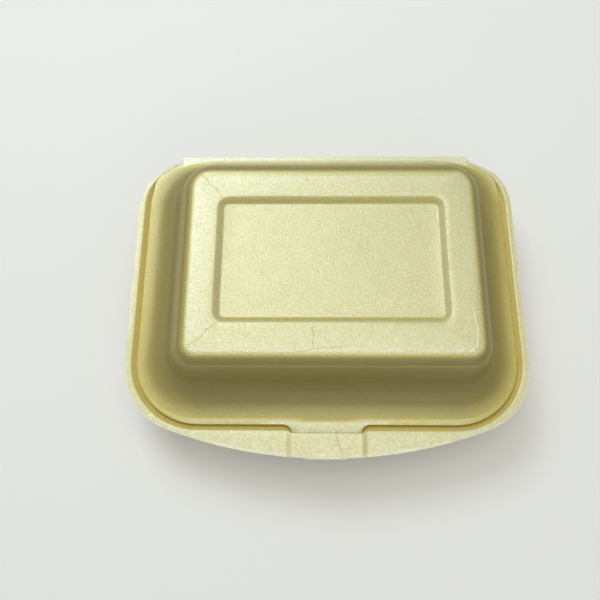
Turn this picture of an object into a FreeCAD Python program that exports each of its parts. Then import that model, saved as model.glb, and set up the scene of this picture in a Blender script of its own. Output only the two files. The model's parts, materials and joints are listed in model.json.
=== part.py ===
import FreeCAD, Part
import math
import os

import Sketcher

# A hinged foam food box, closed: one thin foam sheet formed into a tray and a lid that
# fold together along the back edge.
# Millimetres. X runs along the width, -Y points to the front latch, +Z up. The origin is
# the middle of the footprint, on the surface that the tray stands on.

doc = FreeCAD.newDocument("foam_clamshell")
sizes = doc.addObject("Spreadsheet::Sheet", "Sizes")

# A reach is a distance forward from the fold line at the back. A half width runs from the
# middle plane. A draft is an angle from the vertical.
SIZES = [
    ("sheet_thickness", 2.5, "foam sheet after forming"),
    ("parting_gap", 0.3, "between the closed flanges"),
    ("fold_gap", 0.2, "each back edge to the fold line"),
    ("tray_depth", 36.0, "standing surface to the parting plane"),
    ("lid_height", 34.5, "parting plane to the top of the lid"),
    ("rim_half_width", 119.0, "outer edge of the tray's rim"),
    ("rim_front_reach", 194.5, "middle of the bowed front lip"),
    ("rim_bow_radius", 275.0, "bow of the front lip"),
    ("rim_back_reach", 4.0, "back edge of the rim beside the fold strip"),
    ("rim_back_corner", 33.0, "plan radius of the rim at the back"),
    ("rim_front_corner", 40.0, "plan radius of the rim at the front"),
    ("strip_half_width", 93.5, "fold strip that joins tray and lid"),
    ("strip_root_reach", 14.0, "where the fold strip runs into the flanges"),
    ("lip_side_band", 6.7, "rim edge to the edge of the lid's flange, at the sides"),
    ("lip_back_band", 4.5, "rim edge to the edge of the lid's flange, at the back"),
    ("lip_slope", 43.0, "draft of the raised lip's inner face"),
    ("lid_clearance", 0.7, "lid's flange to the foot of the raised lip"),
    ("lid_front_reach", 175.7, "front edge of the lid's flange"),
    ("lid_back_corner", 26.0, "plan radius of the lid's flange at the back"),
    ("lid_front_corner", 38.0, "plan radius of the lid's flange at the front"),
    ("side_land", 3.8, "flat part of the flange at the sides"),
    ("front_land", 7.2, "flat part of the flange at the front"),
    ("back_land", 2.4, "flat part of the flange at the back, from the fold line"),
    ("flare_radius", 16.0, "hollow bend from wall to flange"),
    ("wall_draft", 15.5, "slope of the walls"),
    ("wall_back_corner", 26.0, "plan radius of the walls where they leave the flange, back"),
    ("wall_front_corner", 20.5, "plan radius of the walls where they leave the flange, front"),
    ("crown_rise", 4.4, "rounded crown above the ledge round the lid"),
    ("crown_draft", 35.0, "slope of the crown's sides"),
    ("crown_radius", 8.6, "rounding of the crown's top edge"),
    ("ledge_width", 0.7, "small ledge between wall and crown"),
    ("panel_half_width", 66.7, "sunk panel in the lid"),
    ("panel_back_reach", 46.5, "back edge of the sunk panel"),
    ("panel_front_reach", 124.1, "front edge of the sunk panel"),
    ("panel_corner", 6.5, "plan radius of the sunk panel"),
    ("panel_depth", 3.0, "depth of the sunk panel"),
    ("panel_slope", 49.0, "draft of the sunk panel's border"),
    ("tub_bottom_radius", 9.0, "rounding of the tray's bottom edge"),
    ("tongue_root_half_width", 25.2, "latch tongue where it leaves the lid's flange"),
    ("tongue_tip_half_width", 19.8, "latch tongue at the slit"),
    ("tongue_clearance", 0.5, "round the latch tongue"),
    ("tongue_reach", 180.4, "front face of the latch tongue"),
    ("hook_thickness", 1.4, "pressed end of the tongue that goes down the slit"),
    ("hook_depth", 5.0, "end of the tongue below the parting plane"),
    ("band_rise", 0.8, "raised middle of the front lip"),
    ("band_inner_half_width", 20.0, "raised middle at its top"),
    ("band_outer_half_width", 22.9, "raised middle at its foot"),
    ("tab_half_width", 12.5, "finger tab on the front lip"),
    ("tab_step", 0.8, "finger tab beyond the lip's edge"),
    ("tool_margin", 6.0, "how far cutting forms run past what they cut"),
]
for row, (name, value, meaning) in enumerate(SIZES, start=1):
    sizes.set(f"A{row}", name)
    sizes.set(f"B{row}", str(value))
    sizes.set(f"C{row}", meaning)
    sizes.setAlias(f"B{row}", name)
doc.recompute()


def size(name):
    return f"Sizes.{name}"


def value(expression):
    return float(sizes.evalExpression(expression))


def from_fold(reach):
    """Y of a line that lies the given reach in front of the fold line."""
    return f"{FOLD_Y} - ({reach})"


def bend_run(draft):
    """Share of a radius or thickness that a bend from level to this draft takes up."""
    return f"tan(45 - {draft} / 2)"


EDGE_TOLERANCE = 1e-3
FOLD_Y = "(Sizes.rim_front_reach + Sizes.tab_step + Sizes.fold_gap) / 2"
SHEET = size("sheet_thickness")
PARTING_Z = size("tray_depth")
HALF_GAP = "Sizes.parting_gap / 2"
SEAT_TOP_Z = f"{PARTING_Z} - {HALF_GAP}"
SEAT_UNDER_Z = f"{PARTING_Z} - {HALF_GAP} - {SHEET}"
LID_FLANGE_UNDER_Z = f"{PARTING_Z} + {HALF_GAP}"
LID_FLANGE_TOP_Z = f"{PARTING_Z} + {HALF_GAP} + {SHEET}"
LIP_RISE = f"({SHEET} + Sizes.parting_gap)"
LIP_TOP_Z = LID_FLANGE_TOP_Z
LIP_UNDER_Z = LID_FLANGE_UNDER_Z
BAND_TOP_Z = f"{LIP_TOP_Z} + Sizes.band_rise"
PLATEAU_Z = f"{PARTING_Z} + Sizes.lid_height"
LEDGE_Z = f"{PLATEAU_Z} - Sizes.crown_rise"

LID_HALF_WIDTH = "(Sizes.rim_half_width - Sizes.lip_side_band)"
LID_BACK_REACH = "(Sizes.rim_back_reach + Sizes.lip_back_band)"
FLARE_RUN = f"Sizes.flare_radius * {bend_run(size('wall_draft'))}"
WALL_HALF_WIDTH = f"({LID_HALF_WIDTH} - Sizes.side_land - {FLARE_RUN})"
WALL_BACK_REACH = f"(Sizes.back_land + {FLARE_RUN})"
WALL_FRONT_REACH = f"(Sizes.lid_front_reach - Sizes.front_land - {FLARE_RUN})"


def vector(x=0.0, y=0.0, z=0.0):
    return FreeCAD.Vector(x, y, z)


def new_body(label):
    body = doc.addObject("PartDesign::Body", label)
    body.Label = label
    return body


def new_sketch(body, name, role, height):
    """Empty sketch on one of the body's own origin planes, at an expression's height."""
    sketch = body.newObject("Sketcher::SketchObject", name)
    plane = [item for item in body.Origin.OriginFeatures if item.Role == role][0]
    sketch.AttachmentSupport = [(plane, "")]
    sketch.MapMode = "FlatFace"
    if height:
        sketch.setExpression("AttachmentOffset.Base.z", height)
    return sketch


def constrain(sketch, kind, references, name, expression):
    """Named dimension bound to an expression."""
    index = sketch.addConstraint(Sketcher.Constraint(kind, *references, value(expression)))
    sketch.renameConstraint(index, name)
    sketch.setExpression(f"Constraints.{name}", expression)


def place_point(sketch, geometry, end, name, x_expression, y_expression):
    """Fix one point of a sketch by its distances from the origin."""
    for kind, axis, expression in (("DistanceX", "across", x_expression),
                                   ("DistanceY", "along", y_expression)):
        if expression is None:
            continue
        if value(expression) >= 0:
            constrain(sketch, kind, (-1, 1, geometry, end), f"{name}_{axis}", expression)
        else:
            constrain(sketch, kind, (geometry, end, -1, 1), f"{name}_{axis}", f"-({expression})")


def arc(x, y, radius, start, end):
    circle = Part.Circle(vector(x, y), vector(z=1), radius)
    return Part.ArcOfCircle(circle, math.radians(start), math.radians(end))


def join_tangent(sketch, count):
    for index in range(count):
        following = (index + 1) % count
        sketch.addConstraint(Sketcher.Constraint("Tangent", index, 2, following, 1))


def rounded_outline(body, name, height, half_width, back_reach, front_reach, back_corner,
                    front_corner):
    """Rounded rectangle about the middle plane, with its own corners at back and front."""
    sketch = new_sketch(body, name, "XY_Plane", height)
    half, back, front = value(half_width), value(from_fold(back_reach)), value(from_fold(front_reach))
    rear, fore = value(back_corner), value(front_corner)
    sketch.addGeometry([
        Part.LineSegment(vector(half - rear, back), vector(rear - half, back)),
        arc(rear - half, back - rear, rear, 90, 180),
        Part.LineSegment(vector(-half, back - rear), vector(-half, front + fore)),
        arc(fore - half, front + fore, fore, 180, 270),
        Part.LineSegment(vector(fore - half, front), vector(half - fore, front)),
        arc(half - fore, front + fore, fore, 270, 360),
        Part.LineSegment(vector(half, front + fore), vector(half, back - rear)),
        arc(half - rear, back - rear, rear, 0, 90)], False)
    join_tangent(sketch, 8)
    sketch.addConstraint([
        Sketcher.Constraint("Horizontal", 0), Sketcher.Constraint("Vertical", 2),
        Sketcher.Constraint("Horizontal", 4), Sketcher.Constraint("Vertical", 6),
        Sketcher.Constraint("Equal", 1, 7), Sketcher.Constraint("Equal", 3, 5)])
    place_point(sketch, 2, 1, "left", f"-({half_width})", None)
    place_point(sketch, 6, 1, "right", half_width, None)
    place_point(sketch, 0, 1, "back", None, from_fold(back_reach))
    place_point(sketch, 4, 1, "front", None, from_fold(front_reach))
    constrain(sketch, "Radius", (1,), "back_corner", back_corner)
    constrain(sketch, "Radius", (3,), "front_corner", front_corner)
    return sketch


def rim_outline(body, name, height):
    """Outline of the tray's rim: straight back and sides and a bowed front."""
    sketch = new_sketch(body, name, "XY_Plane", height)
    half = value(size("rim_half_width"))
    back = value(from_fold(size("rim_back_reach")))
    rear, fore = value(size("rim_back_corner")), value(size("rim_front_corner"))
    bow = value(size("rim_bow_radius"))
    bow_centre = f"{from_fold(size('rim_front_reach'))} + Sizes.rim_bow_radius"
    bow_y = value(bow_centre)
    corner_x = half - fore
    corner_y = bow_y - math.sqrt((bow - fore) ** 2 - corner_x ** 2)
    swing = math.degrees(math.atan2(corner_x, bow_y - corner_y))
    sketch.addGeometry([
        Part.LineSegment(vector(half - rear, back), vector(rear - half, back)),
        arc(rear - half, back - rear, rear, 90, 180),
        Part.LineSegment(vector(-half, back - rear), vector(-half, corner_y)),
        arc(-corner_x, corner_y, fore, 180, 270 - swing),
        arc(0, bow_y, bow, 270 - swing, 270 + swing),
        arc(corner_x, corner_y, fore, 270 + swing, 360),
        Part.LineSegment(vector(half, corner_y), vector(half, back - rear)),
        arc(half - rear, back - rear, rear, 0, 90)], False)
    join_tangent(sketch, 8)
    sketch.addConstraint([
        Sketcher.Constraint("Horizontal", 0), Sketcher.Constraint("Vertical", 2),
        Sketcher.Constraint("Vertical", 6), Sketcher.Constraint("Equal", 1, 7),
        Sketcher.Constraint("Equal", 3, 5), Sketcher.Constraint("PointOnObject", 4, 3, -2)])
    place_point(sketch, 2, 1, "left", "-Sizes.rim_half_width", None)
    place_point(sketch, 6, 1, "right", size("rim_half_width"), None)
    place_point(sketch, 0, 1, "back", None, from_fold(size("rim_back_reach")))
    place_point(sketch, 4, 3, "bow_centre", None, bow_centre)
    constrain(sketch, "Radius", (4,), "bow", size("rim_bow_radius"))
    constrain(sketch, "Radius", (1,), "back_corner", size("rim_back_corner"))
    constrain(sketch, "Radius", (3,), "front_corner", size("rim_front_corner"))
    return sketch


def polygon(body, name, role, height, corners):
    """Closed straight-sided sketch through corners given as pairs of expressions."""
    sketch = new_sketch(body, name, role, height)
    points = [vector(value(x), value(y)) for x, y in corners]
    count = len(points)
    for index in range(count):
        sketch.addGeometry(Part.LineSegment(points[index], points[(index + 1) % count]), False)
    for index in range(count):
        sketch.addConstraint(Sketcher.Constraint("Coincident", index, 2, (index + 1) % count, 1))
    for index, (x, y) in enumerate(corners):
        place_point(sketch, index, 1, f"corner_{index + 1}", x, y)
    return sketch


def trapezium(body, name, height, back_half_width, back_y, front_half_width, front_y):
    """Four-cornered plan sketch that is the same on both sides of the middle plane."""
    return polygon(body, name, "XY_Plane", height, [
        (back_half_width, back_y), (f"-({back_half_width})", back_y),
        (f"-({front_half_width})", front_y), (front_half_width, front_y)])


def pad(body, name, sketch, length, taper=None, down=False):
    """Pad of a sketch. A taper below zero narrows it, and above zero widens it."""
    feature = body.newObject("PartDesign::Pad", name)
    feature.Profile = sketch
    feature.setExpression("Length", length)
    if taper:
        feature.setExpression("TaperAngle", taper)
    feature.Reversed = down
    feature.Refine = True
    sketch.Visibility = False
    doc.recompute()
    return feature


def edges_at(shape, height, half_width, back_reach, front_reach):
    """Names of the edges that lie level at a height, within an outline's extent."""
    z = value(height)
    half = value(half_width)
    back, front = value(from_fold(back_reach)), value(from_fold(front_reach))
    extent = FreeCAD.BoundBox(-half, front, z, half, back, z)
    extent.enlarge(EDGE_TOLERANCE)
    found = []
    for index, edge in enumerate(shape.Edges, start=1):
        if extent.isInside(edge.BoundBox):
            found.append(f"Edge{index}")
    return found


def rounding(body, name, height, radius):
    """Fillet of the walls' level edges at a height."""
    base = body.Tip
    feature = body.newObject("PartDesign::Fillet", name)
    feature.Base = (base, edges_at(
        base.Shape, height, WALL_HALF_WIDTH, WALL_BACK_REACH, WALL_FRONT_REACH))
    feature.setExpression("Radius", radius)
    doc.recompute()
    return feature


def bevel(body, name, height, radius):
    """Bevel of the walls' level edges that touches the middle of a rounding of this radius."""
    base = body.Tip
    feature = body.newObject("PartDesign::Chamfer", name)
    feature.Base = (base, edges_at(
        base.Shape, height, WALL_HALF_WIDTH, WALL_BACK_REACH, WALL_FRONT_REACH))
    half_turn = "(45 - Sizes.wall_draft / 2)"
    feature.setExpression(
        "Size", f"({radius}) * (1 / cos{half_turn} - 1) / sin{half_turn}")
    doc.recompute()
    return feature


def cut_by(body, name, tool):
    """Take a finished cutting form out of the body."""
    feature = body.newObject("PartDesign::Boolean", name)
    feature.Type = "Cut"
    feature.setObjects([tool])
    doc.recompute()
    return feature


def wall_pad(body, name, height, length, inset, draft, down=False):
    """Drafted walls that follow the foot of the walls, set in from it by an expression."""
    outline = rounded_outline(
        body, f"{name}_outline", height, f"{WALL_HALF_WIDTH} - ({inset})",
        f"{WALL_BACK_REACH} + ({inset})", f"{WALL_FRONT_REACH} - ({inset})",
        f"Sizes.wall_back_corner - ({inset})", f"Sizes.wall_front_corner - ({inset})")
    return pad(body, name, outline, length, f"-{draft}", down)


def panel_pocket(body, name, height, outset):
    """Sunk panel with sloping borders, cut down from a level top."""
    outline = rounded_outline(
        body, f"{name}_outline", height, f"Sizes.panel_half_width + {outset}",
        f"Sizes.panel_back_reach - {outset}", f"Sizes.panel_front_reach + {outset}",
        f"Sizes.panel_corner + {outset}", f"Sizes.panel_corner + {outset}")
    feature = body.newObject("PartDesign::Pocket", name)
    feature.Profile = outline
    feature.setExpression("Length", size("panel_depth"))
    feature.setExpression("TaperAngle", "-Sizes.panel_slope")
    outline.Visibility = False
    doc.recompute()
    return feature


def lid_core():
    """Form under the lid: its surface is the underside of the sheet."""
    body = new_body("lid_core")
    plate = rounded_outline(
        body, "lid_core_plate_outline", LID_FLANGE_UNDER_Z, f"{LID_HALF_WIDTH} + Sizes.tool_margin",
        f"-Sizes.tool_margin", "Sizes.lid_front_reach + Sizes.tool_margin",
        size("lid_back_corner"), size("lid_front_corner"))
    pad(body, "lid_core_plate", plate, size("tool_margin"), down=True)
    wall_inset = f"{SHEET} * {bend_run(size('wall_draft'))}"
    inner_ledge = f"{LEDGE_Z} - {SHEET}"
    wall_rise = f"{inner_ledge} - ({LID_FLANGE_UNDER_Z})"
    wall_pad(body, "lid_core_wall", LID_FLANGE_UNDER_Z, wall_rise, wall_inset, size("wall_draft"))
    ledge_inset = f"{wall_inset} + ({wall_rise}) * tan(Sizes.wall_draft)"
    wall_pad(body, "lid_core_crown", inner_ledge, size("crown_rise"), ledge_inset, size("crown_draft"))
    bevel(body, "lid_core_flare", LID_FLANGE_UNDER_Z, f"Sizes.flare_radius + {SHEET}")
    panel_outset = f"{SHEET} * {bend_run(size('panel_slope'))}"
    panel_pocket(body, "lid_core_panel", f"{PLATEAU_Z} - {SHEET}", panel_outset)
    return body


def make_lid():
    """Lid: flange with fold strip and latch tongue, flared walls, crown and sunk panel."""
    body = new_body("lid")
    flange = rounded_outline(
        body, "lid_flange_outline", LID_FLANGE_UNDER_Z, LID_HALF_WIDTH, LID_BACK_REACH,
        size("lid_front_reach"), size("lid_back_corner"), size("lid_front_corner"))
    pad(body, "lid_flange", flange, SHEET)
    strip = trapezium(
        body, "lid_strip_outline", LID_FLANGE_UNDER_Z, size("strip_half_width"),
        from_fold(size("fold_gap")), size("strip_half_width"), from_fold(size("strip_root_reach")))
    pad(body, "lid_strip", strip, SHEET)
    tongue = trapezium(
        body, "tongue_outline", LID_FLANGE_UNDER_Z,
        size("tongue_root_half_width"), from_fold(size("lid_front_reach")),
        size("tongue_tip_half_width"), from_fold(size("tongue_reach")))
    pad(body, "tongue", tongue, SHEET)
    wall_rise = f"{LEDGE_Z} - ({LID_FLANGE_TOP_Z})"
    wall_pad(body, "lid_wall", LID_FLANGE_TOP_Z, wall_rise, "0", size("wall_draft"))
    ledge_inset = f"({wall_rise}) * tan(Sizes.wall_draft) + Sizes.ledge_width"
    wall_pad(body, "lid_crown", LEDGE_Z, size("crown_rise"), ledge_inset, size("crown_draft"))
    rounding(body, "lid_crown_edge", PLATEAU_Z, size("crown_radius"))
    rounding(body, "lid_flare", LID_FLANGE_TOP_Z, size("flare_radius"))
    panel_pocket(body, "lid_panel", PLATEAU_Z, "0")
    cut_by(body, "lid_hollow", lid_core())
    hook = trapezium(
        body, "hook_outline", LID_FLANGE_UNDER_Z,
        size("tongue_tip_half_width"), from_fold("Sizes.tongue_reach - Sizes.hook_thickness"),
        size("tongue_tip_half_width"), from_fold(size("tongue_reach")))
    pad(body, "hook", hook, f"Sizes.hook_depth + {HALF_GAP}", down=True)
    return body


def notch_corners(spread):
    """Half widths and front line of the notch that takes the tongue, grown by a spread."""
    return (f"Sizes.tongue_root_half_width + {spread}",
            f"Sizes.tongue_tip_half_width + {spread}",
            from_fold(f"Sizes.tongue_reach + {spread}"))


def tray_core():
    """Form inside the tray: its surface is the upper side of the sheet."""
    body = new_body("tray_core")
    seat = rounded_outline(
        body, "seat_outline", SEAT_TOP_Z, f"{LID_HALF_WIDTH} + Sizes.lid_clearance",
        f"{LID_BACK_REACH} - Sizes.lid_clearance", "Sizes.lid_front_reach + Sizes.lid_clearance",
        "Sizes.lid_back_corner + Sizes.lid_clearance",
        "Sizes.lid_front_corner + Sizes.lid_clearance")
    above_lip = f"{LIP_RISE} + Sizes.band_rise + Sizes.tool_margin"
    pad(body, "seat", seat, above_lip, size("lip_slope"))
    strip_half = "Sizes.strip_half_width + Sizes.lid_clearance"
    strip = trapezium(
        body, "strip_gap_outline", SEAT_TOP_Z, strip_half, from_fold("-Sizes.tool_margin"),
        strip_half, from_fold(size("strip_root_reach")))
    pad(body, "strip_gap", strip, above_lip)
    inset = f"{SHEET} * {bend_run(size('wall_draft'))}"
    wall_pad(body, "tub_inside", SEAT_TOP_Z, f"{SEAT_TOP_Z} - {SHEET}", inset, size("wall_draft"), True)
    bevel(body, "tub_inside_bottom_edge", SHEET, f"Sizes.tub_bottom_radius - {SHEET}")
    rounding(body, "tub_inside_flare", SEAT_TOP_Z, f"Sizes.flare_radius + {SHEET}")
    root, tip, front = notch_corners(size("tongue_clearance"))
    notch = trapezium(
        body, "notch_outline", SEAT_TOP_Z,
        root, from_fold(size("lid_front_reach")), tip, front)
    pad(body, "notch", notch, above_lip)
    slit_back = "Sizes.tongue_reach - Sizes.hook_thickness - Sizes.tongue_clearance"
    slit = trapezium(body, "slit_outline", SEAT_TOP_Z, tip, from_fold(slit_back), tip, front)
    pad(body, "slit", slit, "Sizes.hook_depth + Sizes.tool_margin", down=True)
    outside = "Sizes.rim_half_width + Sizes.tool_margin"
    for side, sign in (("left", "-"), ("right", "")):
        trim = polygon(body, f"lip_trim_{side}_outline", "XZ_Plane", None, [
            (f"{sign}Sizes.band_inner_half_width", f"{BAND_TOP_Z} + Sizes.tool_margin"),
            (f"{sign}Sizes.band_inner_half_width", BAND_TOP_Z),
            (f"{sign}Sizes.band_outer_half_width", LIP_TOP_Z),
            (f"{sign}({outside})", LIP_TOP_Z),
            (f"{sign}({outside})", f"{BAND_TOP_Z} + Sizes.tool_margin")])
        feature = pad(body, f"lip_trim_{side}", trim,
                      "2 * (Sizes.rim_front_reach + Sizes.tool_margin)")
        feature.SideType = "Symmetric"
        doc.recompute()
    return body


def make_tray():
    """Tray: tub with flared walls, seat for the lid, raised lip and slit for the tongue."""
    body = new_body("tray")
    rim = rim_outline(body, "rim_outline", LIP_UNDER_Z)
    pad(body, "rim", rim, f"{SHEET} + Sizes.band_rise")
    tab_front = from_fold("Sizes.rim_front_reach + Sizes.tab_step")
    tab = trapezium(
        body, "finger_tab_outline", LIP_UNDER_Z, "Sizes.tab_half_width + 2 * Sizes.tab_step",
        from_fold("Sizes.rim_front_reach - Sizes.tool_margin"), size("tab_half_width"), tab_front)
    pad(body, "finger_tab", tab, f"{SHEET} + Sizes.band_rise")
    lip_run = f"{SHEET} * {bend_run(size('lip_slope'))} + Sizes.lid_clearance"
    seat = rounded_outline(
        body, "seat_under_outline", SEAT_UNDER_Z, f"{LID_HALF_WIDTH} + {lip_run}",
        f"{LID_BACK_REACH} - ({lip_run})", f"Sizes.lid_front_reach + {lip_run}",
        f"Sizes.lid_back_corner + {lip_run}", f"Sizes.lid_front_corner + {lip_run}")
    pad(body, "seat_under", seat, LIP_RISE, size("lip_slope"))
    strip = trapezium(
        body, "tray_strip_outline", SEAT_UNDER_Z, size("strip_half_width"),
        from_fold(size("fold_gap")), size("strip_half_width"), from_fold(size("strip_root_reach")))
    pad(body, "tray_strip", strip, SHEET)
    root, tip, front = notch_corners(f"Sizes.tongue_clearance + {SHEET}")
    notch = trapezium(
        body, "notch_under_outline", SEAT_UNDER_Z,
        root, from_fold(size("lid_front_reach")), tip, front)
    pad(body, "notch_under", notch, LIP_RISE)
    wall_pad(body, "tub", SEAT_UNDER_Z, SEAT_UNDER_Z, "0", size("wall_draft"), True)
    rounding(body, "tub_bottom_edge", "0", size("tub_bottom_radius"))
    rounding(body, "tub_flare", SEAT_UNDER_Z, size("flare_radius"))
    cut_by(body, "tray_hollow", tray_core())
    return body


parts = [make_tray(), make_lid()]
doc.recompute()

for item in doc.Objects:
    if "Invalid" in item.State or "Error" in item.State:
        raise RuntimeError(f"{item.Label} failed: {item.State}")
for item in parts:
    if item.Shape.isNull() or not item.Shape.isValid() or len(item.Shape.Solids) != 1:
        raise RuntimeError(f"{item.Label} is not one sound solid")
    box = item.Shape.optimalBoundingBox(True)
    print(item.Label, "volume", round(item.Shape.Volume), "mm3, box",
          [round(number, 2) for number in (box.XMin, box.YMin, box.ZMin, box.XMax, box.YMax, box.ZMax)])

os.makedirs("parts", exist_ok=True)
for item in parts:
    item.Shape.exportStep(os.path.join("parts", f"{item.Label}.step"))
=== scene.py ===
"""A hinged foam food box, closed: a flared tray and a lid with a sunk top panel.

Lengths are metres. X runs along the width, -Y points to the front latch and +Z up. A reach
is a distance forward from the fold line at the back of the box.
"""

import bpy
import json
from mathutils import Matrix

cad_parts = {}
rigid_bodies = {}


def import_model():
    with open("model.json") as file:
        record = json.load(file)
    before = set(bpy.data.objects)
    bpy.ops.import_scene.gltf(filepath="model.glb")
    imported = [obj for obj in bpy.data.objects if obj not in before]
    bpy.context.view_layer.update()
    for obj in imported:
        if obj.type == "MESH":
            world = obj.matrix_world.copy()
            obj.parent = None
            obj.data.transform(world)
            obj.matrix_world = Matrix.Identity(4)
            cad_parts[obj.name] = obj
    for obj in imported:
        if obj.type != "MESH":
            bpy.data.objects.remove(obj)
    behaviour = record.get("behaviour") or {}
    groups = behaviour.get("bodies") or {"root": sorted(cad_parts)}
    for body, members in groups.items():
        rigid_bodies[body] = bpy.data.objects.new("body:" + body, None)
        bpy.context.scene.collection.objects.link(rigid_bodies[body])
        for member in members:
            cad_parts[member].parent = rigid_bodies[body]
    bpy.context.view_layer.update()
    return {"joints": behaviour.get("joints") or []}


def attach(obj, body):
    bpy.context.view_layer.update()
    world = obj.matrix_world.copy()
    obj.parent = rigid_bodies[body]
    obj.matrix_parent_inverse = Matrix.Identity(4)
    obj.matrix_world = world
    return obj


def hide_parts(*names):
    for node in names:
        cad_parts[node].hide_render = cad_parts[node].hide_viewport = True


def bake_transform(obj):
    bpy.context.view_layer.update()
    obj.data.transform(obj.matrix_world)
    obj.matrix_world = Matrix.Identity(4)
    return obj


bl_info = {
    "name": "Foam food box",
    "version": (1, 0, 0),
    "blender": (4, 5, 0),
    "location": "View3D > Sidebar > Foam Box",
    "description": "Builds a hinged foam food box with its fold strip, latch tongue and lip",
    "category": "Object",
}

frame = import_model()

import json
import math
from collections import namedtuple

import bpy
from bpy.props import FloatProperty, FloatVectorProperty, PointerProperty
from mathutils import Matrix, Vector, noise

MM = 0.001
HINGE = frame["joints"][0]
FOLD_Y, PARTING_Z = HINGE["pos_m"][1], HINGE["pos_m"][2]
TRAY_BODY, LID_BODY = HINGE["parent"], HINGE["child"]

Outline = namedtuple("Outline", "half back front back_corner front_corner")
Station = namedtuple("Station", "kind at side")


# Properties that a user would change


def length(name, description, millimetres):
    return FloatProperty(name=name, description=description, default=millimetres * MM,
                         unit="LENGTH", subtype="DISTANCE", precision=4)


def colour(name, description, red, green, blue):
    """Colour given as it shows on a screen, kept as linear light."""
    linear = [channel / 12.92 if channel <= 0.04045 else ((channel + 0.055) / 1.055) ** 2.4
              for channel in (red, green, blue)]
    return FloatVectorProperty(name=name, description=description, default=linear,
                               subtype="COLOR", size=3, min=0, max=1)


class FoamBoxSizes(bpy.types.PropertyGroup):
    sheet: length("Sheet", "Thickness of the formed foam sheet", 2.5)
    flange_gap: length("Flange Gap", "Gap between the closed flanges", 0.3)
    lid_rise: length("Lid Rise", "Parting plane to the top of the lid", 34.5)
    lid_half: length("Lid Half Width", "Half width of the lid's flange", 112.3)
    lid_back: length("Lid Back", "Reach of the lid flange's back corners", 8.5)
    lid_front: length("Lid Front", "Reach of the lid flange's front edge", 175.7)
    lid_back_corner: length("Lid Back Corner", "Plan radius of the lid's flange at the back", 26)
    lid_front_corner: length("Lid Front Corner", "Plan radius of the lid's flange at the front", 38)
    strip_half: length("Fold Strip", "Half width of the strip at the fold", 93.5)
    wall_half: length("Wall Half Width", "Half width of the walls at their foot", 96.333)
    wall_back: length("Wall Back", "Reach of the back wall at its foot", 14.567)
    wall_front: length("Wall Front", "Reach of the front wall at its foot", 156.333)
    wall_back_corner: length("Wall Back Corner", "Plan radius of the walls at the back", 26)
    wall_front_corner: length("Wall Front Corner", "Plan radius of the walls at the front", 20.5)
    wall_lean: FloatProperty(name="Wall Lean", description="Slope of the walls from upright",
                             default=math.radians(15.5), subtype="ANGLE")
    flare: length("Flare", "Hollow bend from wall to flange", 16)
    crown_rise: length("Crown Rise", "Rounded crown above the ledge", 4.4)
    crown_radius: length("Crown Radius", "Rounding of the crown's top edge", 8.6)
    panel_half: length("Panel Half Width", "Half width of the sunk panel", 66.7)
    panel_back: length("Panel Back", "Reach of the sunk panel's back edge", 46.5)
    panel_front: length("Panel Front", "Reach of the sunk panel's front edge", 124.1)
    panel_corner: length("Panel Corner", "Plan radius of the sunk panel", 6.5)
    panel_depth: length("Panel Depth", "Depth of the sunk panel", 3)
    rim_half: length("Rim Half Width", "Half width of the tray's rim", 119)
    rim_back: length("Rim Back", "Reach of the rim beside the fold strip", 4)
    rim_back_corner: length("Rim Back Corner", "Plan radius of the rim at the back", 33)
    rim_front: length("Rim Front", "Reach of the bowed front lip", 194.9)
    rim_front_corner: length("Rim Front Corner", "Plan radius of the rim at the front", 40)
    rim_bow: length("Rim Bow", "Radius of the front lip's bow", 270)
    seat_gap: length("Seat Gap", "Lid's flange to the foot of the raised lip", 0.7)
    bottom_radius: length("Bottom Radius", "Rounding of the tray's bottom edge", 9)
    tongue_root: length("Tongue Root", "Half width of the latch tongue at the flange", 25.2)
    tongue_tip: length("Tongue Tip", "Half width of the latch tongue at its end", 19.8)
    tongue_reach: length("Tongue Reach", "Reach of the latch tongue", 180.4)
    band_rise: length("Lip Band Rise", "Raised middle of the front lip", 0.8)
    top_shift: length("Top Shift", "Sideways lean of the crown on this box", 2.6)
    wobble: length("Rim Wobble", "Unevenness of the rim's outer edge", 0.8)
    sag: length("Sheet Sag", "Unevenness of the formed sheet", 0.25)
    cell: length("Foam Cell", "Size of the foam's surface cells", 0.9)


class FoamBoxColours(bpy.types.PropertyGroup):
    foam: colour("Foam", "Pearl foam where it lies level", 0.88, 0.863, 0.65)
    gold: colour("Golden Foam", "Foam of the flanges, with a gold sheen", 0.80, 0.735, 0.36)
    # Groove gold: the deep gold of the lip's inner face, with the painted shade of the gap under
    # the lid's flange in it.
    groove: colour("Groove", "Foam of the raised lip's inner face", 0.86, 0.76, 0.34)
    # Olive: the stretched walls' own tone, deepened with painted shade.
    olive: colour("Stretched Foam", "Foam of the stretched walls", 0.625, 0.58, 0.335)
    cut: colour("Cut Edge", "Foam where the sheet was cut", 0.965, 0.96, 0.85)
    floor: colour("Floor", "Studio floor", 0.93, 0.93, 0.92)


def box_sizes():
    return bpy.context.scene.foam_box_sizes


def box_colours():
    return bpy.context.scene.foam_box_colours


# Outlines and stations


LEAST_CORNER = 1.2 * MM
TOUCH_GAP = 0.13 * MM
SHOWN_GAP = 0.4 * MM
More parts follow.
